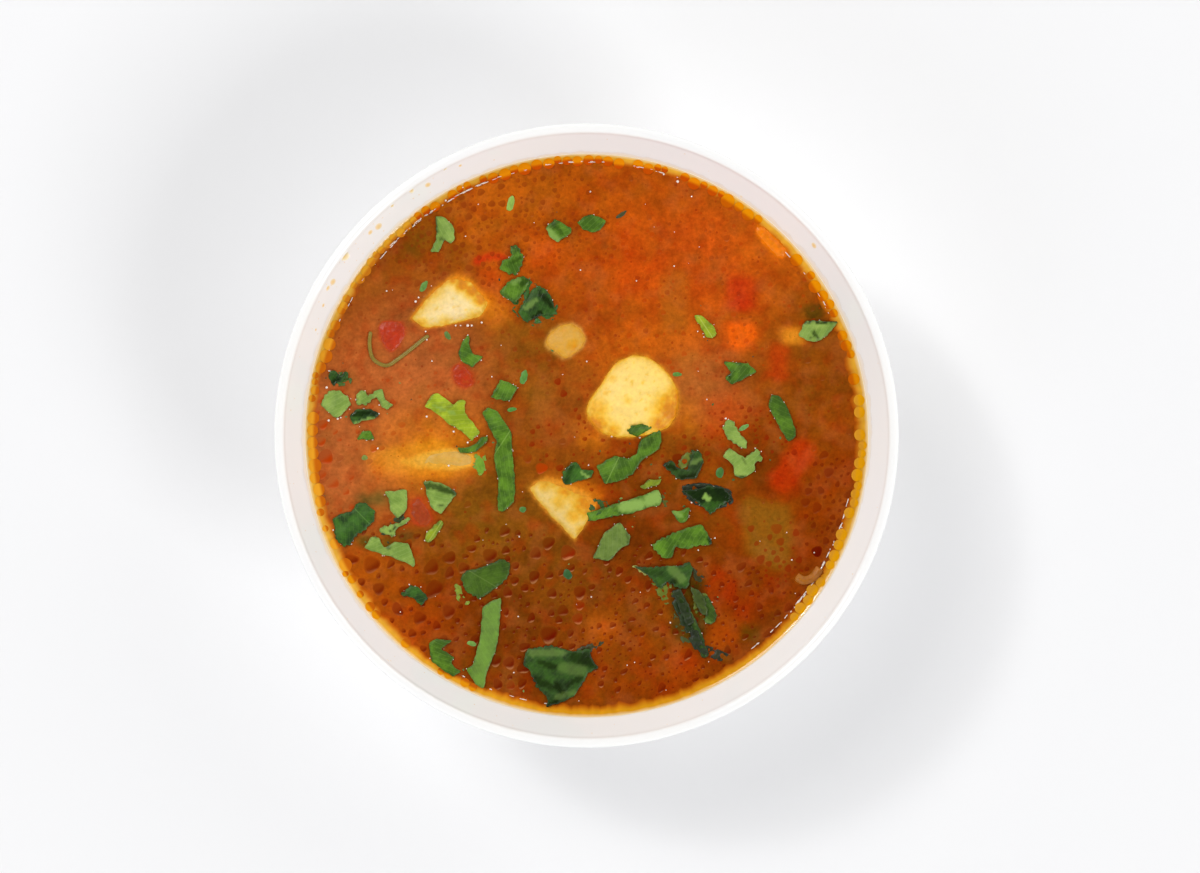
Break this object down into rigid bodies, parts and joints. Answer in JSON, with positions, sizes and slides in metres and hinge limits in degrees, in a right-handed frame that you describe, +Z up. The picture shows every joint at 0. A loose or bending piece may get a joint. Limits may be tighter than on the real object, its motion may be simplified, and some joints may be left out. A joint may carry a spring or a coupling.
{
  "type": "bowl of vegetable sour soup",
  "caption": "Round white porcelain bowl on a foot ring, filled with orange-red vegetable sour soup with potato chunks, tomato, carrot and chopped coriander floating on it.",
  "frame": {"origin": "middle of the foot ring's lower face, on the surface the bowl stands on", "axes": "+Z up along the bowl's axis; seen from above, +X is to the right and +Y away from the viewer"},
  "size_m": [0.16, 0.16, 0.062],
  "materials": {
    "porcelain": "white porcelain with a clear, smooth, glossy glaze",
    "broth": "cloudy orange-red broth with a thin film and drops of red oil, wet and glossy",
    "potato": "boiled potato, pale yellow, finely mealy and wet",
    "tomato": "cooked tomato, soft red flesh, wet",
    "carrot": "boiled carrot, orange, wet",
    "onion": "cooked onion, translucent beige, wet",
    "stem": "thin fresh herb stem, yellow-green, satin",
    "leaf_pale": "coriander leaf, pale underside up, soft matte",
    "leaf_green": "coriander leaf, mid green upper side, satin",
    "leaf_dark": "coriander leaf, dark green, wet",
    "leaf_lime": "coriander leaf stalk end, lime green, satin"
  },
  "bodies": {
    "root": {"bowl": "porcelain", "soup": "broth", "potato_dome": "potato", "potato_triangle": "potato", "potato_wedge": "potato", "potato_sunk": "potato", "potato_bit": "potato", "tomato_upper": "tomato", "tomato_middle": "tomato", "tomato_lower": "tomato", "carrot_stick": "carrot", "onion_curl": "onion", "herb_stem": "stem", "leaf_01": "leaf_pale", "leaf_02": "leaf_green", "leaf_03": "leaf_green", "leaf_04": "leaf_green", "leaf_05": "leaf_green", "leaf_06": "leaf_dark", "leaf_07": "leaf_lime", "leaf_08": "leaf_pale", "leaf_09": "leaf_dark", "leaf_10": "leaf_pale", "leaf_11": "leaf_pale", "leaf_12": "leaf_dark", "leaf_13": "leaf_green", "leaf_14": "leaf_lime", "leaf_15": "leaf_green", "leaf_16": "leaf_pale", "leaf_17": "leaf_pale", "leaf_18": "leaf_lime", "leaf_19": "leaf_dark", "leaf_20": "leaf_pale", "leaf_21": "leaf_pale", "leaf_22": "leaf_dark", "leaf_23": "leaf_green", "leaf_24": "leaf_green", "leaf_25": "leaf_green", "leaf_26": "leaf_dark", "leaf_27": "leaf_green", "leaf_28": "leaf_green", "leaf_29": "leaf_green", "leaf_30": "leaf_green", "leaf_31": "leaf_dark", "leaf_32": "leaf_green", "leaf_33": "leaf_lime", "leaf_34": "leaf_green", "leaf_35": "leaf_green", "leaf_36": "leaf_pale", "leaf_37": "leaf_pale", "leaf_38": "leaf_dark", "leaf_39": "leaf_dark", "leaf_40": "leaf_green", "leaf_41": "leaf_pale", "leaf_42": "leaf_green", "leaf_43": "leaf_dark", "leaf_44": "leaf_dark", "leaf_45": "leaf_green", "leaf_46": "leaf_green"}
  },
  "joints": []
}
